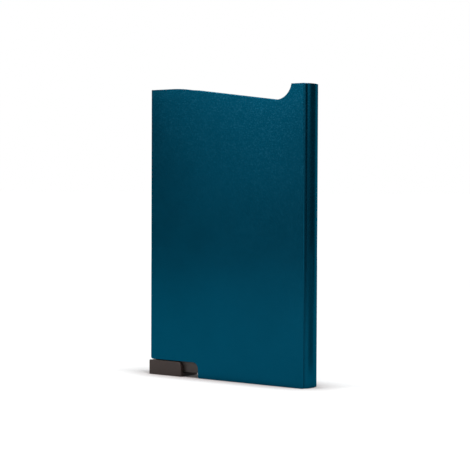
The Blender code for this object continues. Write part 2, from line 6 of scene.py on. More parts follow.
import bmesh
import bpy
from bpy.props import FloatProperty, FloatVectorProperty, PointerProperty
from mathutils import Matrix, Vector

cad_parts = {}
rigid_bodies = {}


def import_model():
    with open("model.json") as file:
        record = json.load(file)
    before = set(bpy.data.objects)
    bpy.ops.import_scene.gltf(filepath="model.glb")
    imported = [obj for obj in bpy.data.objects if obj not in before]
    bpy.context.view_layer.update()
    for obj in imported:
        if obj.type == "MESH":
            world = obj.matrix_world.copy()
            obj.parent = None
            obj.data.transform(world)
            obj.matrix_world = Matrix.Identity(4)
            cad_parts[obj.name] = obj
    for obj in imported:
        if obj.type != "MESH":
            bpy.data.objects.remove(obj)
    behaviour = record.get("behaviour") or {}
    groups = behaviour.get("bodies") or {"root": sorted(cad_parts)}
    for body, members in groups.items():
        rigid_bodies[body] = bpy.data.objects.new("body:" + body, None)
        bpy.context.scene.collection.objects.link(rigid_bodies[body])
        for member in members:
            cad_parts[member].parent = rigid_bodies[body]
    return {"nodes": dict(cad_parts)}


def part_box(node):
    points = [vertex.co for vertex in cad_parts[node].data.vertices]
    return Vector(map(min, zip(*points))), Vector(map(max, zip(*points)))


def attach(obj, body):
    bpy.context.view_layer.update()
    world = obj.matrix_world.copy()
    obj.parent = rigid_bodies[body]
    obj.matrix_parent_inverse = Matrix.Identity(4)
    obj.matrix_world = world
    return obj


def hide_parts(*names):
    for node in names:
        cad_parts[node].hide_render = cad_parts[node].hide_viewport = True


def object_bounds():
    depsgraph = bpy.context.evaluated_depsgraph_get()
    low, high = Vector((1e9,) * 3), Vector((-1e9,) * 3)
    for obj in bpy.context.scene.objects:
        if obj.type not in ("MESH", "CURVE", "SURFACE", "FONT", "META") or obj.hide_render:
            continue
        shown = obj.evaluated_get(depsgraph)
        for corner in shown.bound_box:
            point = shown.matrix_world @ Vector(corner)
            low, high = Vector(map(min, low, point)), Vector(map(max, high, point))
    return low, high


bl_info = {
    "name": "Metal card holder",
    "version": (1, 0, 0),
    "blender": (4, 5, 0),
    "location": "3D View > Sidebar > Card holder",
    "description": "Builds the looks of a slim card holder round its packed model",
    "category": "Object",
}

# Blender's own starting objects go before the frame is loaded
for starting_object in list(bpy.data.objects):
    bpy.data.objects.remove(starting_object, do_unlink=True)
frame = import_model()
CAD_LOW, CAD_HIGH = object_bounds()
CASE_LOW, CASE_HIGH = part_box("case_tube")

MILLIMETRE = 0.001


def linear(hex_colour):
    """An sRGB hex colour as linear red, green and blue."""
    shares = [int(hex_colour[start:start + 2], 16) / 255 for start in (0, 2, 4)]
    return tuple(share / 12.92 if share <= 0.04045 else ((share + 0.055) / 1.055) ** 2.4
                 for share in shares)


def length(name, description, default):
    """A length that a user may change, in metres."""
    return FloatProperty(name=name, description=description, default=default, min=0.0,
                         precision=5, unit="LENGTH")


def factor(name, description, default):
    """A factor from 0 to 1 that a user may change."""
    return FloatProperty(name=name, description=description, default=default, min=0.0,
                         max=1.0, subtype="FACTOR")


def colour(name, description, hex_colour):
    """A colour that a user may change, written as sRGB hex."""
    return FloatVectorProperty(name=name, description=description, default=linear(hex_colour),
                               size=3, min=0.0, max=1.0, subtype="COLOR")


class CaseSizes(bpy.types.PropertyGroup):
    """Sizes of the extruded and milled case."""
    side_crown: length("Side crown", "How far the narrow sides bulge past the flat faces", 0.00085)
    face_wall: length("Face wall", "Thickness of the two wide walls", 0.0008)
    side_wall: length("Side wall", "Thickness of the two narrow walls", 0.0011)
    edge_radius: length("Edge radius", "Radius of the four long corners", 0.0002)
    bore_radius: length("Bore radius", "Radius of the four inner corners", 0.0003)
    groove_setback: length("Groove setback", "From a long corner to its groove", 0.00035)
    groove_width: length("Groove width", "Width of the four grooves", 0.0011)
    groove_depth: length("Groove depth", "Depth of the four grooves", 0.0005)
    groove_taper: factor("Groove taper", "A groove's floor as a share of its width", 0.15)
    groove_floor: length("Groove floor", "Radius of the corners of a groove's floor", 0.0001)
    mouth_level: length("Level mouth", "From the left side to the start of the slope", 0.0129)
    mouth_bend: length("Mouth bend", "Radius between the level and the sloping mouth", 0.0550)
    notch_radius: length("Notch radius", "Radius of the thumb notch", 0.0060)
    notch_depth: length("Notch depth", "Depth of the thumb notch below the top", 0.0049)
    notch_to_side: length("Notch to side", "From the notch to the right side", 0.0049)
    window_length: length("Window length", "Length of the slider's window", 0.0205)
    window_height: length("Window height", "Height of the slider's window", 0.00515)
    window_fillet: length("Window fillet", "Radius of the window's inner corner", 0.0022)
    window_lip: length("Window lip", "Radius of the window's corner at the foot", 0.0005)
    window_corner: length("Window corner", "Radius of the window's outer corner", 0.0008)
    cut_edge: length("Cut edge", "Width of the eased edge along the mouth and the foot", 0.0001)


class FinishColours(bpy.types.PropertyGroup):
    """Colours of the finishes."""
    case_blue: colour("Case", "Dyed anodic layer of the case", "02435A")
    # The colour of the painted glints on the blasted facets, and of the dye's faint mottle
    case_mottle_and_painted_glint: colour("Case glint", "Blasted facets that catch the light", "36809E")
    case_shade: colour("Case shade", "Where the dye took more deeply", "00394D")
    case_rim: colour("Case rim", "Thin, rubbed layer along the edges of the case", "3F7F93")
    case_grazing: colour("Case gleam", "Tint of what the case mirrors at a low angle", "3FBFC2")
    slider_grey: colour("Slider", "Moulded slider", "342824")
    base_grey: colour("Base", "Moulded base", "3E3835")
    lever_grey: colour("Lever", "Moulded ejector lever", "2F2F31")
    rail_grey: colour("Rails", "Moulded side rails", "2C2C2C")
    pin_steel: colour("Pins", "Drawn steel pins", "C4C6C8")
    felt_grey: colour("Felt", "Pressed felt pads", "29292B")
    floor: colour("Floor", "Pale studio floor", "F2F2F2")
    # Painted contact shadow: the floor's colour right beside the foot
    floor_painted_shadow: colour("Floor contact", "The floor right beside what stands on it", "9A7E79")
    backdrop: colour("Backdrop", "White studio backdrop", "FFFFFF")


class CardHolderSettings(bpy.types.PropertyGroup):
    """All sizes and colours of the card holder."""
    case: PointerProperty(type=CaseSizes)
    colours: PointerProperty(type=FinishColours)


# Shapes

WELD_REACH = 0.001 * MILLIMETRE
FLAT_ANGLE = math.radians(0.4)
SHARP_ANGLE = math.radians(38)


def arc(centre, radius, start, end, steps):
    """Points on an arc about centre, from the start angle to the end angle."""
    points = []
    for index in range(steps + 1):
        angle = start + (end - start) * index / steps
        points.append((centre[0] + radius * math.cos(angle), centre[1] + radius * math.sin(angle)))
    return points


def rounded(corners, steps):
    """An outline from (x, y, radius) corners, each corner turned into an arc of its radius."""
    points = []
    for index, (x, y, radius) in enumerate(corners):
        corner = Vector((x, y))
        if radius <= 0.0:
            points.append((x, y))
            continue
        back = (Vector(corners[index - 1][:2]) - corner).normalized()
        ahead = (Vector(corners[(index + 1) % len(corners)][:2]) - corner).normalized()
        half = back.angle(ahead) / 2
        reach = radius / math.tan(half)
        centre = corner + (back + ahead).normalized() * radius / math.sin(half)
        first = corner + back * reach - centre
        last = corner + ahead * reach - centre
        start = math.atan2(first.y, first.x)
        turn = math.remainder(math.atan2(last.y, last.x) - start, math.tau)
        points += arc(centre, radius, start, start + turn, steps)
    return points


def as_mesh(build, name):
    """The mesh of that name that a finished bmesh leaves."""
    mesh = bpy.data.meshes.new(name)
    build.to_mesh(mesh)
    build.free()
    return mesh


def prism(name, outline, low, high, axis, holes=()):
    """A closed solid: a flat outline extruded from low to high along the Y or the Z axis."""
    build = bmesh.new()
    loops = []
    for loop in (outline, *holes):
        placed = [(across, low, up) if axis == "Y" else (across, up, low) for across, up in loop]
        verts = [build.verts.new(point) for point in placed]
        edges = [build.edges.new((verts[index - 1], vert)) for index, vert in enumerate(verts)]
        loops.append((verts, edges))
    if holes:
        all_edges = [edge for verts, edges in loops for edge in edges]
        faces = bmesh.ops.triangle_fill(build, use_beauty=True, edges=all_edges)["geom"]
        faces = [item for item in faces if isinstance(item, bmesh.types.BMFace)]
    else:
        faces = [build.faces.new(loops[0][0])]
    grown = bmesh.ops.extrude_face_region(build, geom=faces, use_keep_orig=True)["geom"]
    shift = Vector((0, high - low, 0)) if axis == "Y" else Vector((0, 0, high - low))
    moved = [item for item in grown if isinstance(item, bmesh.types.BMVert)]
    bmesh.ops.translate(build, verts=moved, vec=shift)
    bmesh.ops.recalc_face_normals(build, faces=build.faces)
    return as_mesh(build, name)


def new_piece(name, data):
    """Puts a mesh, a lamp or a camera into the scene as an object of that name."""
    piece = bpy.data.objects.new(name, data)
    bpy.context.scene.collection.objects.link(piece)
    return piece


def welded_copy(node, name):
    """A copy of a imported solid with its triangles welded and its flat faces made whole."""
    build = bmesh.new()
    build.from_mesh(frame["nodes"][node].data)
    bmesh.ops.remove_doubles(build, verts=build.verts, dist=WELD_REACH)
    bmesh.ops.dissolve_limit(build, angle_limit=FLAT_ANGLE, verts=build.verts,
                             edges=build.edges)
    bmesh.ops.recalc_face_normals(build, faces=build.faces)
    return new_piece(name, as_mesh(build, name))


def cut(piece, mesh):
    """Cuts a mesh out of a piece when the piece is settled."""
    cutter = new_piece(mesh.name, mesh)
    cutter.hide_render = True
    step = piece.modifiers.new(mesh.name, "BOOLEAN")
    step.operation = "DIFFERENCE"
    step.solver = "EXACT"
    step.object = cutter


def ease(piece, width, from_angle, steps):
    """Rounds each edge that turns by more than an angle."""
    step = piece.modifiers.new("eased_edges", "BEVEL")
    step.width = width
    step.segments = steps
    step.limit_method = "ANGLE"
    step.angle_limit = from_angle
    step.use_clamp_overlap = False


def settle(piece):
    """Turns a piece's modifiers into its own mesh and removes the cutters they used."""
    cutters = [step.object for step in piece.modifiers if step.type == "BOOLEAN"]
    graph = bpy.context.evaluated_depsgraph_get()
    piece.data = bpy.data.meshes.new_from_object(piece.evaluated_get(graph))
    piece.modifiers.clear()
    for cutter in cutters:
        bpy.data.objects.remove(cutter, do_unlink=True)


def finish_piece(piece, material, body, slot_name, *nodes):
    """Settles a piece, shades it, gives it its material, ties it to its body and hides the nodes it
    stands for; the slot's name is not used.
    """
    settle(piece)
    piece.data.shade_smooth()
    piece.data.set_sharp_from_angle(angle=SHARP_ANGLE)
    piece.modifiers.new("even_shading", "WEIGHTED_NORMAL").keep_sharp = True
    piece.data.materials.clear()
    piece.data.materials.append(material)
    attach(piece, body)
    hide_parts(*nodes)


# Case

CORNER_STEPS = 5
CROWN_STEPS = 40
BEND_STEPS = 24
NOTCH_STEPS = 48
FILLET_STEPS = 12
CUT_EDGE_STEPS = 3
CUT_OVERRUN = 0.001
# Only the edges that a cut leaves turn by more than this
CUT_ANGLE = math.radians(80)
QUARTER_TURN = math.pi / 2


class CaseShape:
    """Outlines of the case, drawn from its lower left front corner."""

    def __init__(self, sizes):
        self.sizes = sizes
        self.width = CASE_HIGH.x - CASE_LOW.x - 2 * sizes.side_crown
        self.depth = CASE_HIGH.y - CASE_LOW.y
        self.height = CASE_HIGH.z - CASE_LOW.z
        self.middle = self.depth / 2
        self.crown_radius = (self.middle ** 2 + sizes.side_crown ** 2) / (2 * sizes.side_crown)
        self.corner = Vector((CASE_LOW.x + sizes.side_crown, CASE_LOW.y, CASE_LOW.z))

    def groove(self, centre, angle):
        """A sloping groove's (x, y, radius) corners, at an angle round the right crown's centre."""
        half, eased = self.sizes.groove_width / 2, self.sizes.groove_floor
        rim = math.sqrt(self.crown_radius ** 2 - half ** 2)
        floor = rim - self.sizes.groove_depth
        low = half * self.sizes.groove_taper
        turn = Matrix.Rotation(angle, 2)
        corners = ((rim, -half, 0.0), (floor, -low, eased), (floor, low, eased), (rim, half, 0.0))
        return [(*(Vector(centre) + turn @ Vector((x, y))), radius) for x, y, radius in corners]

    def section(self):
        """The outer outline in plan: flat faces, and a crown with two grooves at either side."""
        sizes = self.sizes
        centre = (self.width + sizes.side_crown - self.crown_radius, self.middle)
        half_groove = math.asin(sizes.groove_width / 2 / self.crown_radius)
        half_crown = math.asin(self.middle / self.crown_radius)
        groove = half_crown - sizes.groove_setback / self.crown_radius - half_groove
        between = groove - half_groove
        crown = arc(centre, self.crown_radius, -between, between, CROWN_STEPS)
        side = [*self.groove(centre, -groove), *[(x, y, 0.0) for x, y in crown[1:-1]],
                *self.groove(centre, groove)]
        edge = sizes.edge_radius
        right = [(self.width, 0.0, edge), *side, (self.width, self.depth, edge)]
        left = [(self.width - x, y, radius) for x, y, radius in reversed(right)]
        return rounded(right + left, CORNER_STEPS)

    def bore(self):
        """The inner outline in plan."""
        sizes = self.sizes
        near_x, far_x = sizes.side_wall, self.width - sizes.side_wall
        near_y, far_y = sizes.face_wall, self.depth - sizes.face_wall
        radius = sizes.bore_radius
        return rounded([(near_x, near_y, radius), (far_x, near_y, radius),
                        (far_x, far_y, radius), (near_x, far_y, radius)], CORNER_STEPS)

    def mouth(self):
        """What is milled off above: level, then a slope that runs tangent into the thumb notch."""
        sizes = self.sizes
        notch = Vector((0.0, self.height - sizes.notch_depth + sizes.notch_radius))
        rise = notch.y - self.height
        notch.x = self.width - sizes.notch_to_side - math.sqrt(sizes.notch_radius ** 2 - rise ** 2)
        vertex = Vector((sizes.mouth_level, self.height))
        way = notch - vertex
        slope = math.atan2(way.y, way.x) - math.asin(sizes.notch_radius / way.length)
        tangent = sizes.mouth_bend * math.tan(-slope / 2)
        bend = (vertex.x - tangent, self.height - sizes.mouth_bend)
        top = self.height + 2 * CUT_OVERRUN
        far = sizes.side_crown + CUT_OVERRUN
        return [(self.width + far, top), (-far, top), (-far, self.height),
                *arc(bend, sizes.mouth_bend, QUARTER_TURN, QUARTER_TURN + slope, BEND_STEPS),
                *arc(notch, sizes.notch_radius, slope - QUARTER_TURN,
                     -math.asin(rise / sizes.notch_radius), NOTCH_STEPS),
                (self.width + far, self.height)]

    def foot(self):
        """What is milled off below: the level foot, and the window where the slider runs."""
        sizes = self.sizes
        lip, corner, fillet = sizes.window_lip, sizes.window_corner, sizes.window_fillet
        far = -sizes.side_crown - CUT_OVERRUN
        low = -2 * CUT_OVERRUN
        points = [(far, low), (self.width - far, low), (self.width - far, 0.0)]
        points += arc((sizes.window_length + lip, lip), lip, -QUARTER_TURN, -math.pi, CORNER_STEPS)
        points += arc((sizes.window_length - fillet, sizes.window_height - fillet), fillet,
                      0.0, QUARTER_TURN, FILLET_STEPS)
        points += arc((corner, sizes.window_height + corner), corner, -QUARTER_TURN,
                      -QUARTER_TURN - QUARTER_TURN / 2, CORNER_STEPS)
        x, z = points[-1]
        points.append((far, z + x - far))
        return points


def build_case(settings):
    """The extruded tube, milled at the mouth and at the slider's window."""
    shape = CaseShape(settings.case)
    tube = prism("case_shell", shape.section(), -CUT_OVERRUN, shape.height + CUT_OVERRUN, "Z",
                 [shape.bore()])
    piece = new_piece("case_shell", tube)
    near, far = -CUT_OVERRUN, shape.depth + CUT_OVERRUN
    cut(piece, prism("mouth_cutter", shape.mouth(), near, far, "Y"))
    cut(piece, prism("foot_cutter", shape.foot(), near, far, "Y"))
    ease(piece, settings.case.cut_edge, CUT_ANGLE, CUT_EDGE_STEPS)
    settle(piece)
    piece.data.transform(Matrix.Translation(shape.corner))
    finish_piece(piece, anodised_aluminium(settings.colours), "case", "case", "case_tube")


# Finishes

# Nearly all values of a noise texture lie between these
NOISE_LOW, NOISE_HIGH = 0.3, 0.7


def add_node(tree, kind, sockets=None, **settings):
    """Adds a node with its settings; a socket takes a plain value or another node's output."""
    node = tree.nodes.new(kind)
    for name, value in settings.items():
        setattr(node, name, value)
    for key, value in (sockets or {}).items():
        if isinstance(value, bpy.types.NodeSocket):
            tree.links.new(value, node.inputs[key])
        else:
            node.inputs[key].default_value = value
    return node


def empty_tree(owner):
    """The node tree of a material or a world, with nothing in it yet."""
    owner.use_nodes = True
    owner.node_tree.nodes.clear()
    return owner.node_tree


def new_material(name):
    """A material with its node tree, its surface shader and its place in the piece."""
    material = bpy.data.materials.new(name)
    tree = empty_tree(material)
    shader = add_node(tree, "ShaderNodeBsdfPrincipled")
    add_node(tree, "ShaderNodeOutputMaterial", {"Surface": shader.outputs[0]})
    place = add_node(tree, "ShaderNodeTexCoord").outputs["Object"]
    return material, tree, shader, place


def shaded(tint, share=1.0):
    """A colour with its brightness times a share, as a colour socket takes it."""
    return (*[min(1.0, channel * share) for channel in tint], 1.0)


def edge_wear(tree, place, reach, patch):
    """How much a spot is rubbed, 0 to 1: in patches along edges, as far in from them as reach."""
    rounded_off = add_node(tree, "ShaderNodeBevel", {"Radius": reach}, samples=6)
    surface = add_node(tree, "ShaderNodeNewGeometry")
    flatness = add_node(tree, "ShaderNodeVectorMath",
                        {0: rounded_off.outputs[0], 1: surface.outputs["Normal"]},
                        operation="DOT_PRODUCT")
    # Cosines of how far the rounded-off surface leans from the true one
    unworn, fully_worn = 0.995, 0.80
    edges = add_node(tree, "ShaderNodeMapRange",
                     {"Value": flatness.outputs["Value"], "From Min": unworn,
                      "From Max": fully_worn, "To Min": 0.0, "To Max": 1.0})
    patches = add_node(tree, "ShaderNodeTexNoise",
                       {"Vector": place, "Scale": 1.0 / patch, "Detail": 3.0, "Roughness": 0.6})
    kept = add_node(tree, "ShaderNodeMapRange",
                    {"Value": patches.outputs["Fac"], "From Min": 0.40, "From Max": 0.62,
                     "To Min": 0.25, "To Max": 1.0})
    return add_node(tree, "ShaderNodeMath", {0: edges.outputs[0], 1: kept.outputs[0]},
                    operation="MULTIPLY").outputs[0]


def anodised_aluminium(colours):
    """Bead-blasted, dyed and sealed aluminium: a deep satin blue with a fine sparkle of painted
    glints.
    """
    material, tree, shader, place = new_material("anodised_blasted_aluminium")
    # The glass beads leave pits of about 0.1 mm, drawn at 0.42 mm so that they show; the brightest
    # pits carry the painted glints
    pits = add_node(tree, "ShaderNodeTexNoise",
                    {"Vector": place, "Scale": 1.0 / (0.42 * MILLIMETRE), "Detail": 1.0,
                     "Roughness": 0.6})
    bright_pit_share = add_node(tree, "ShaderNodeMapRange",
                      {"Value": pits.outputs["Fac"], "From Min": 0.51, "From Max": 0.72,
                       "To Min": 0.0, "To Max": 0.20})
    # Painted glints: strongest towards the mouth's end, right more than left, where the highlight
    # lies, and fading out below
    painted_glint_slope = (5.0, 0.0, 11.0)
    painted_glint_level = add_node(tree, "ShaderNodeVectorMath", {0: place, 1: painted_glint_slope},
                    operation="DOT_PRODUCT")
    painted_glint_mask = add_node(tree, "ShaderNodeMapRange",
                     {"Value": painted_glint_level.outputs["Value"], "From Min": 0.15, "From Max": 1.0,
                      "To Min": 0.0, "To Max": 1.0})
    painted_glint_share = add_node(tree, "ShaderNodeMath", {0: bright_pit_share.outputs[0], 1: painted_glint_mask.outputs[0]},
                      operation="MULTIPLY")
    # Clusters of pits take the dye alike, about 0.7 mm across: a very fine mottle
    clusters = add_node(tree, "ShaderNodeTexNoise",
                        {"Vector": place, "Scale": 1.0 / (0.70 * MILLIMETRE), "Detail": 2.0,
                         "Roughness": 0.55})
    mottle = add_node(tree, "ShaderNodeMapRange",
                      {"Value": clusters.outputs["Fac"], "From Min": 0.35, "From Max": 0.70,
                       "To Min": 0.0, "To Max": 0.02})
    # The dye's faint mottle plus the painted glints, as a share of their colour
    mottle_and_painted_glint = add_node(tree, "ShaderNodeMath", {0: mottle.outputs[0], 1: painted_glint_share.outputs[0]},
                       operation="ADD")
    # The dye takes a little unevenly over some centimetres: large soft clouds
    clouds = add_node(tree, "ShaderNodeTexNoise",
                      {"Vector": place, "Scale": 1.0 / (22.0 * MILLIMETRE), "Detail": 2.0,
                       "Roughness": 0.5})
    cloud_share = add_node(tree, "ShaderNodeMapRange",
                           {"Value": clouds.outputs["Fac"], "From Min": NOISE_LOW,
                            "From Max": NOISE_HIGH, "To Min": 0.0, "To Max": 0.30})
    clouded = add_node(tree, "ShaderNodeMix",
                       {0: cloud_share.outputs[0], 6: shaded(colours.case_blue),
                        7: shaded(colours.case_shade)}, data_type="RGBA")
    base_with_painted_glint = add_node(tree, "ShaderNodeMix",
                       {0: mottle_and_painted_glint.outputs[0], 6: clouded.outputs[2],
                        7: shaded(colours.case_mottle_and_painted_glint)}, data_type="RGBA")
    # The layer is thinner on the edges and is rubbed there: a hair of paler blue
    most_worn = 0.12
    rubbed = add_node(tree, "ShaderNodeMath",
                      {0: edge_wear(tree, place, 0.25 * MILLIMETRE, 1.6 * MILLIMETRE),
                       1: most_worn}, operation="MULTIPLY")
    worn = add_node(tree, "ShaderNodeMix",
                    {0: rubbed.outputs[0], 6: base_with_painted_glint.outputs[2],
                     7: shaded(colours.case_rim)}, data_type="RGBA")
    # Fingers polish it in patches of about a centimetre: the satin is a little uneven
    handled = add_node(tree, "ShaderNodeTexNoise",
                       {"Vector": place, "Scale": 1.0 / (9.0 * MILLIMETRE), "Detail": 3.0,
                        "Roughness": 0.5})
    satin = add_node(tree, "ShaderNodeMapRange",
                     {"Value": handled.outputs["Fac"], "From Min": NOISE_LOW,
                      "From Max": NOISE_HIGH, "To Min": 0.215, "To Max": 0.245})
    bump = add_node(tree, "ShaderNodeBump",
                    {"Height": pits.outputs["Fac"], "Strength": 0.8,
                     "Distance": 0.004 * MILLIMETRE})
    tree.links.new(worn.outputs[2], shader.inputs["Base Color"])
    tree.links.new(satin.outputs[0], shader.inputs["Roughness"])
    tree.links.new(bump.outputs[0], shader.inputs["Normal"])
    shader.inputs["Metallic"].default_value = 1.0
    shader.inputs["Specular Tint"].default_value = shaded(colours.case_grazing)
    return material


def moulded_plastic(name, tint, roughness, texture):
    """Plastic moulded in a tool: a texture of that size, a soft gloss and paler, smoother edges."""
    material, tree, shader, place = new_material(name)
    deep, pale, speck, bare = [shaded(tint, share) for share in (0.85, 1.10, 1.25, 2.2)]
    # The melt flows in over some millimetres: soft streaks in tone and gloss
    flow = add_node(tree, "ShaderNodeTexNoise",
                    {"Vector": place, "Scale": 1.0 / (4.0 * MILLIMETRE), "Detail": 2.0,
                     "Roughness": 0.5, "Distortion": 0.6})
    flow_share = add_node(tree, "ShaderNodeMapRange",
                          {"Value": flow.outputs["Fac"], "From Min": NOISE_LOW,
                           "From Max": NOISE_HIGH, "To Min": 0.2, "To Max": 0.8})
    streaked = add_node(tree, "ShaderNodeMix", {0: flow_share.outputs[0], 6: deep, 7: pale},
                        data_type="RGBA")
    # The tool's spark-eroded skin: a fine grain of light and dark points
    spark = add_node(tree, "ShaderNodeTexNoise",
                     {"Vector": place, "Scale": 1.0 / texture, "Detail": 3.0, "Roughness": 0.6})
    spark_share = add_node(tree, "ShaderNodeMapRange",
                           {"Value": spark.outputs["Fac"], "From Min": 0.35, "From Max": 0.65,
                            "To Min": 0.0, "To Max": 0.35})
    grained = add_node(tree, "ShaderNodeMix",
                       {0: spark_share.outputs[0], 6: streaked.outputs[2], 7: speck},
                       data_type="RGBA")
    # Thumbs and cards rub the edges: a little paler and glossier there
    most_worn, polish = 0.35, -0.10
    rubbed = edge_wear(tree, place, 0.25 * MILLIMETRE, 1.2 * MILLIMETRE)
    rubbed_share = add_node(tree, "ShaderNodeMath", {0: rubbed, 1: most_worn},
                            operation="MULTIPLY")
    worn = add_node(tree, "ShaderNodeMix",
                    {0: rubbed_share.outputs[0], 6: grained.outputs[2], 7: bare},
                    data_type="RGBA")
    swing = 0.04
    gloss = add_node(tree, "ShaderNodeMapRange",
                     {"Value": flow.outputs["Fac"], "From Min": NOISE_LOW,
                      "From Max": NOISE_HIGH, "To Min": roughness - swing,
                      "To Max": roughness + swing})
    polished = add_node(tree, "ShaderNodeMath", {0: rubbed, 1: polish, 2: gloss.outputs[0]},
                        operation="MULTIPLY_ADD")
    bump = add_node(tree, "ShaderNodeBump",
                    {"Height": spark.outputs["Fac"], "Strength": 0.4,
                     "Distance": 0.02 * MILLIMETRE})
    tree.links.new(worn.outputs[2], shader.inputs["Base Color"])
    tree.links.new(polished.outputs[0], shader.inputs["Roughness"])
    tree.links.new(bump.outputs[0], shader.inputs["Normal"])
    shader.inputs["IOR"].default_value = 1.54
    shader.inputs["Specular IOR Level"].default_value = 0.3
    return material


def drawn_steel(colours):
    """Bright drawn steel wire: fine lines along the pin and an uneven shine."""
    material, tree, shader, place = new_material("drawn_steel")
    dull, clean, bare = [shaded(colours.pin_steel, share) for share in (0.82, 1.0, 1.25)]
    # The die scores the wire lengthways every 0.05 mm or so: fine lines along the pin
    lengthways = add_node(tree, "ShaderNodeMapping",
                          {"Vector": place, "Scale": (1.0, 0.02, 1.0)})
    lines = add_node(tree, "ShaderNodeTexNoise",
                     {"Vector": lengthways.outputs[0], "Scale": 1.0 / (0.05 * MILLIMETRE),
                      "Detail": 2.0})
    scored = add_node(tree, "ShaderNodeMix", {0: lines.outputs["Fac"], 6: dull, 7: clean},
                      data_type="RGBA")
    edges = edge_wear(tree, place, 0.15 * MILLIMETRE, 0.8 * MILLIMETRE)
    bright = add_node(tree, "ShaderNodeMix", {0: edges, 6: scored.outputs[2], 7: bare},
                      data_type="RGBA")
    # Where the lever and the ears turn on it, the lines are polished away: brighter patches
    turned = add_node(tree, "ShaderNodeTexNoise",
                      {"Vector": place, "Scale": 1.0 / (1.5 * MILLIMETRE), "Detail": 2.0})
    shine = add_node(tree, "ShaderNodeMapRange",
                     {"Value": turned.outputs["Fac"], "From Min": NOISE_LOW,
                      "From Max": NOISE_HIGH, "To Min": 0.20, "To Max": 0.34})
    bump = add_node(tree, "ShaderNodeBump",
                    {"Height": lines.outputs["Fac"], "Strength": 0.3,
                     "Distance": 0.005 * MILLIMETRE})
    tree.links.new(bright.outputs[2], shader.inputs["Base Color"])
    tree.links.new(shine.outputs[0], shader.inputs["Roughness"])
    tree.links.new(bump.outputs[0], shader.inputs["Normal"])
    shader.inputs["Metallic"].default_value = 1.0
    return material


def pressed_felt(colours):
    """Pressed wool felt: matted fibres, a soft sheen and no gloss."""
    material, tree, shader, place = new_material("pressed_wool_felt")
    deep, pale, frayed = [shaded(colours.felt_grey, share) for share in (0.6, 1.8, 2.6)]
    # Wool fibres are 0.03 mm thick, drawn at 0.4 mm so that they show: a fuzzy light and dark
    fibres = add_node(tree, "ShaderNodeTexNoise",
                      {"Vector": place, "Scale": 1.0 / (0.40 * MILLIMETRE), "Detail": 4.0,
                       "Roughness": 0.7, "Distortion": 1.2})
    fibre_share = add_node(tree, "ShaderNodeMapRange",
                           {"Value": fibres.outputs["Fac"], "From Min": 0.35, "From Max": 0.70,
                            "To Min": 0.0, "To Max": 1.0})
    matted = add_node(tree, "ShaderNodeMix", {0: fibre_share.outputs[0], 6: deep, 7: pale},
                      data_type="RGBA")
    # The cut edges fray: a paler, ragged rim
    edges = edge_wear(tree, place, 0.30 * MILLIMETRE, 0.6 * MILLIMETRE)
    rimmed = add_node(tree, "ShaderNodeMix", {0: edges, 6: matted.outputs[2], 7: frayed},
                      data_type="RGBA")
    # Cards flatten the nap in patches of about a millimetre: a little smoother there
    tufts = add_node(tree, "ShaderNodeTexNoise",
                     {"Vector": place, "Scale": 1.0 / (1.2 * MILLIMETRE), "Detail": 2.0,
                      "Roughness": 0.5})
    nap = add_node(tree, "ShaderNodeMapRange",
                   {"Value": tufts.outputs["Fac"], "From Min": NOISE_LOW,
                    "From Max": NOISE_HIGH, "To Min": 0.86, "To Max": 1.0})
    bump = add_node(tree, "ShaderNodeBump",
                    {"Height": fibres.outputs["Fac"], "Strength": 0.8,
                     "Distance": 0.08 * MILLIMETRE})
    tree.links.new(rimmed.outputs[2], shader.inputs["Base Color"])
    tree.links.new(nap.outputs[0], shader.inputs["Roughness"])
    tree.links.new(bump.outputs[0], shader.inputs["Normal"])
    shader.inputs["Sheen Weight"].default_value = 0.35
    shader.inputs["Sheen Roughness"].default_value = 0.5
    return material


# Inner parts and the slider

# Grain of the tools' spark-eroded skin: really about 0.1 mm, drawn coarser so that it shows
MATT_GRAIN = 0.22 * MILLIMETRE
ACETAL_GRAIN = 0.30 * MILLIMETRE
MATT_ROUGHNESS = 0.50
BASE_ROUGHNESS = 0.52
ACETAL_ROUGHNESS = 0.36


def build_slider(settings):
    """The channel that wraps the foot of the base, in matt ABS."""
    material = moulded_plastic("moulded_matt_abs", settings.colours.slider_grey, MATT_ROUGHNESS,
                               MATT_GRAIN)
    finish_piece(welded_copy("slider", "slider_channel"), material, "slider", "slider", "slider")


def build_base(settings):
    """The base that closes the foot of the case, in ABS."""
    material = moulded_plastic("moulded_base_abs", settings.colours.base_grey, BASE_ROUGHNESS,
                               MATT_GRAIN)
    finish_piece(welded_copy("base_frame", "base_moulding"), material, "case", "base",
                 "base_frame")


def build_lever(settings):
    """The stepped lever that lifts the cards, in slippery acetal."""
    material = moulded_plastic("moulded_acetal", settings.colours.lever_grey, ACETAL_ROUGHNESS,
                               ACETAL_GRAIN)
    finish_piece(welded_copy("ejector_lever", "stepped_lever"), material, "lever", "lever",
                 "ejector_lever")


def build_pins(settings):
    """The lever's pivot pin in the base, and its drive pin in the slider."""
    material = drawn_steel(settings.colours)
    for node, body in (("pivot_pin", "case"), ("drive_pin", "slider")):
        finish_piece(welded_copy(node, f"{node}_wire"), material, body, "pins", node)


def build_rails(settings):
    """The strips between the case's narrow sides and the cards, in matt ABS."""
    material = moulded_plastic("moulded_rail_abs", settings.colours.rail_grey, MATT_ROUGHNESS,
                               MATT_GRAIN)
    for side in ("left", "right"):
        node = f"{side}_side_rail"
        finish_piece(welded_copy(node, f"{side}_guide_rail"), material, "case", "rails", node)


def build_pads(settings):
    """The felt pads on the insides of the two wide walls."""
    material = pressed_felt(settings.colours)
    for wall in ("front", "rear"):
        for side in ("left", "right"):
            node = f"{wall}_{side}_grip_pad"
            finish_piece(welded_copy(node, f"{wall}_{side}_felt"), material, "case", "felt", node)


# Stage

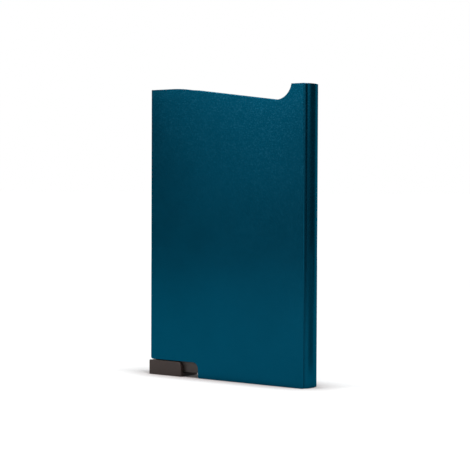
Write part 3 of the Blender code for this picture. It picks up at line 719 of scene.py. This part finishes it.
# The camera is fitted to the corners of the case in the photograph
IMAGE_WIDTH = 470
FOCAL_PIXELS = 1534.0
SENSOR_WIDTH = 36.0
CAMERA_PLACE = (0.3102, -0.3958, 0.0625)
CAMERA_YAW = math.radians(37.94)
CAMERA_PITCH = math.radians(1.69)
CAMERA_ROLL = math.radians(0.229)

# How strongly the backdrop lights, and how strongly the floor glows near the object and far off
WORLD_LIGHT = 0.11
NEAR_GLOW = 0.05
FLOOR_GLOW = 0.92

# In metres: how near to the foot the floor's colour holds a painted shade, from where to where it
# brightens, its width
PAINTED_SHADE_REACH = 0.012
SHADOW_REACH = 0.15
FADE_REACH = 1.10
FLOOR_WIDTH = 40.0

# Name, place, target, two sides in metres and watts of each lamp
SOFTBOXES = (
    # Above, and longer along the width: a soft blur of shadow past the foot's two ends
    ("overhead_softbox", (0.055, -0.035, 1.0), (0.0, -0.035, 0.0), (0.20, 0.30), 9.7),
    # High at the front left: the metal is brighter towards the mouth; the sparkle there is painted
    # glints in its colour
    ("key_softbox", (-0.40, -0.512, 0.30), (0.0, 0.0, 0.08), (0.14, 0.16), 1.15),
    # High at the right: the narrow side is not lost in the dark
    ("side_softbox", (0.60, 0.10, 0.45), (0.0, 0.0, 0.05), (0.4, 0.4), 0.4),
)

# Name, place, width and height in metres and brightness of each card that the metal mirrors
CARDS = (
    # The crowned side mirrors these: its dark band, its dimmer middle and the band's low end
    ("side_card", (0.225, 0.268, 0.25), 0.22, 0.5, 0.17),
    ("low_side_card", (0.329, 0.120, 0.050), 0.15, 0.10, 0.35),
    ("near_side_card", (0.066, 0.037, 0.021), 0.028, 0.042, 0.41),
    # The front mirrors these: its darker middle, its darker left and its dimmer right rim
    ("front_card", (-0.308, -0.394, 0.025), 0.8, 0.05, 0.37),
    ("left_card", (-0.417, -0.318, 0.150), 0.20, 0.30, 0.05),
    ("right_card", (-0.164, -0.469, 0.150), 0.16, 0.30, 0.05),
    # The grooves' sloping walls mirror this one: they are dark, but for their lowest part
    ("groove_card", (0.067, -0.313, 0.200), 0.21, 0.40, 0.13),
)


def aim_camera():
    """Sets the camera at the photograph's viewing angle."""
    data = bpy.data.cameras.new("camera")
    data.sensor_width = SENSOR_WIDTH
    data.lens = FOCAL_PIXELS * SENSOR_WIDTH / IMAGE_WIDTH
    camera = new_piece("camera", data)
    yaw = Matrix.Rotation(CAMERA_YAW, 4, "Z")
    pitch = Matrix.Rotation(QUARTER_TURN - CAMERA_PITCH, 4, "X")
    roll = Matrix.Rotation(CAMERA_ROLL, 4, "Z")
    camera.matrix_world = Matrix.Translation(CAMERA_PLACE) @ yaw @ pitch @ roll
    bpy.context.scene.camera = camera


def seen_directly(tree):
    """One where the backdrop itself is seen, straight, in a reflection or through glass."""
    path = add_node(tree, "ShaderNodeLightPath")
    mirrored = add_node(tree, "ShaderNodeMath",
                        {0: path.outputs["Is Camera Ray"], 1: path.outputs["Is Glossy Ray"]},
                        operation="MAXIMUM").outputs[0]
    return add_node(tree, "ShaderNodeMath", {0: mirrored, 1: path.outputs["Is Transmission Ray"]},
                    operation="MAXIMUM").outputs[0]


def pale_world(colours):
    """A white backdrop that lights the object at a plain level."""
    world = bpy.data.worlds.new("pale_studio")
    tree = empty_tree(world)
    strength = add_node(tree, "ShaderNodeMapRange",
                        {"Value": seen_directly(tree), "To Min": WORLD_LIGHT, "To Max": 1.0})
    sky = add_node(tree, "ShaderNodeBackground",
                   {"Color": shaded(colours.backdrop), "Strength": strength.outputs[0]})
    add_node(tree, "ShaderNodeOutputWorld", {"Surface": sky.outputs[0]})
    bpy.context.scene.world = world


def pale_floor(colours):
    """A matt pale floor that fades into the white backdrop, keeps the object's shadow and has a
    painted contact shadow round the foot.
    """
    material = bpy.data.materials.new("pale_studio_floor")
    tree = empty_tree(material)
    place = add_node(tree, "ShaderNodeTexCoord")
    reach = add_node(tree, "ShaderNodeVectorMath", {0: place.outputs["Object"]},
                     operation="LENGTH")
    # The shadow lies close round the foot; further off the floor brightens to the backdrop's white
    fade = add_node(tree, "ShaderNodeMapRange",
                    {"Value": reach.outputs["Value"], "From Min": SHADOW_REACH,
                     "From Max": FADE_REACH, "To Min": NEAR_GLOW, "To Max": FLOOR_GLOW})
    strength = add_node(tree, "ShaderNodeMath", {0: seen_directly(tree), 1: fade.outputs[0]},
                        operation="MULTIPLY")
    # Painted contact shadow: close round the foot the floor's colour is darkened towards a warm
    # grey, by how near other surfaces are
    painted_shade_nearness = add_node(tree, "ShaderNodeAmbientOcclusion", {"Distance": PAINTED_SHADE_REACH},
                        samples=8)
    painted_shadow_colour = add_node(tree, "ShaderNodeMix",
                       {0: painted_shade_nearness.outputs["AO"], 6: shaded(colours.floor_painted_shadow),
                        7: shaded(colours.floor)}, data_type="RGBA")
    paint = add_node(tree, "ShaderNodeBsdfDiffuse", {"Color": painted_shadow_colour.outputs[2]})
    glow = add_node(tree, "ShaderNodeEmission", {"Strength": strength.outputs[0]})
    both = add_node(tree, "ShaderNodeAddShader", {0: paint.outputs[0], 1: glow.outputs[0]})
    add_node(tree, "ShaderNodeOutputMaterial", {"Surface": both.outputs[0]})
    return material


def level_square(name, width):
    """A level square mesh of that width about the origin."""
    build = bmesh.new()
    bmesh.ops.create_grid(build, x_segments=1, y_segments=1, size=width / 2)
    return as_mesh(build, name)


def add_floor(colours):
    """A level floor under the foot, wide enough to reach the horizon."""
    floor = new_piece("floor", level_square("floor", FLOOR_WIDTH))
    floor.location.z = CAD_LOW.z
    floor.data.materials.append(pale_floor(colours))


def add_card(name, place, width, height, shade):
    """A glowing card out of view, so bright, seen only in the metal's reflections: a darker patch
    for it to mirror.
    """
    card = new_piece(name, level_square(name, 1.0))
    toward = Vector((-place[0], -place[1], 0.0)).to_track_quat("Z", "Y")
    card.matrix_world = (Matrix.Translation(place) @ toward.to_matrix().to_4x4()
                         @ Matrix.Diagonal((width, height, 1.0, 1.0)))
    material = bpy.data.materials.new(name)
    tree = empty_tree(material)
    lit = add_node(tree, "ShaderNodeEmission", {"Strength": shade})
    add_node(tree, "ShaderNodeOutputMaterial", {"Surface": lit.outputs[0]})
    card.data.materials.append(material)
    card.visible_camera = False
    card.visible_diffuse = False
    card.visible_shadow = False


def add_softbox(name, place, target, sides, watts):
    """A softbox with those two sides that points at a target."""
    data = bpy.data.lights.new(name, "AREA")
    data.shape = "RECTANGLE"
    data.size, data.size_y = sides
    data.energy = watts
    lamp = new_piece(name, data)
    toward = (Vector(target) - Vector(place)).to_track_quat("-Z", "Y")
    lamp.matrix_world = Matrix.Translation(place) @ toward.to_matrix().to_4x4()


def build_stage(settings):
    """Backdrop, floor, soft lamps, mirrored cards and camera."""
    bpy.context.scene.view_settings.view_transform = "Standard"
    pale_world(settings.colours)
    add_floor(settings.colours)
    for softbox in SOFTBOXES:
        add_softbox(*softbox)
    for card in CARDS:
        add_card(*card)
    aim_camera()


# Add-on


class CARDHOLDER_OT_case(bpy.types.Operator):
    """Build the anodised case with its sloping mouth, thumb notch and grooved sides"""
    bl_idname = "cardholder.case"
    bl_label = "Case"

    def execute(self, context):
        build_case(context.scene.card_holder)
        return {"FINISHED"}


class CARDHOLDER_OT_slider(bpy.types.Operator):
    """Build the moulded slider"""
    bl_idname = "cardholder.slider"
    bl_label = "Slider"

    def execute(self, context):
        build_slider(context.scene.card_holder)
        return {"FINISHED"}


class CARDHOLDER_OT_base(bpy.types.Operator):
    """Build the moulded base that closes the foot"""
    bl_idname = "cardholder.base"
    bl_label = "Base"

    def execute(self, context):
        build_base(context.scene.card_holder)
        return {"FINISHED"}


class CARDHOLDER_OT_lever(bpy.types.Operator):
    """Build the stepped ejector lever"""
    bl_idname = "cardholder.lever"
    bl_label = "Lever"

    def execute(self, context):
        build_lever(context.scene.card_holder)
        return {"FINISHED"}


class CARDHOLDER_OT_pins(bpy.types.Operator):
    """Build the two steel pins"""
    bl_idname = "cardholder.pins"
    bl_label = "Pins"

    def execute(self, context):
        build_pins(context.scene.card_holder)
        return {"FINISHED"}


class CARDHOLDER_OT_rails(bpy.types.Operator):
    """Build the two side rails that centre the cards"""
    bl_idname = "cardholder.rails"
    bl_label = "Rails"

    def execute(self, context):
        build_rails(context.scene.card_holder)
        return {"FINISHED"}


class CARDHOLDER_OT_pads(bpy.types.Operator):
    """Build the four felt pads that grip the cards"""
    bl_idname = "cardholder.pads"
    bl_label = "Felt pads"

    def execute(self, context):
        build_pads(context.scene.card_holder)
        return {"FINISHED"}


class CARDHOLDER_OT_stage(bpy.types.Operator):
    """Set up the pale floor, the soft lamps, the cards and the camera"""
    bl_idname = "cardholder.stage"
    bl_label = "Stage"

    def execute(self, context):
        build_stage(context.scene.card_holder)
        return {"FINISHED"}


OPERATORS = (CARDHOLDER_OT_case, CARDHOLDER_OT_slider, CARDHOLDER_OT_base, CARDHOLDER_OT_lever,
             CARDHOLDER_OT_pins, CARDHOLDER_OT_rails, CARDHOLDER_OT_pads, CARDHOLDER_OT_stage)


class CARDHOLDER_PT_sidebar(bpy.types.Panel):
    """Lists the builders and the sizes and colours they use"""
    bl_idname = "CARDHOLDER_PT_sidebar"
    bl_label = "Card holder"
    bl_space_type = "VIEW_3D"
    bl_region_type = "UI"
    bl_category = "Card holder"

    def draw(self, context):
        settings = context.scene.card_holder
        for operator in OPERATORS:
            self.layout.operator(operator.bl_idname)
        for group in (settings.case, settings.colours):
            box = self.layout.box()
            for name in group.__annotations__:
                box.prop(group, name)


CLASSES = (CaseSizes, FinishColours, CardHolderSettings, *OPERATORS, CARDHOLDER_PT_sidebar)


def register():
    """Adds the classes and the scene's settings."""
    for item in CLASSES:
        bpy.utils.register_class(item)
    bpy.types.Scene.card_holder = PointerProperty(type=CardHolderSettings)


def unregister():
    """Takes away what register adds."""
    del bpy.types.Scene.card_holder
    for item in reversed(CLASSES):
        bpy.utils.unregister_class(item)


def main():
    """Builds each piece and the stage in order."""
    register()
    for operator in OPERATORS:
        group, name = operator.bl_idname.split(".")
        getattr(getattr(bpy.ops, group), name)()


if __name__ == "__main__":
    main()
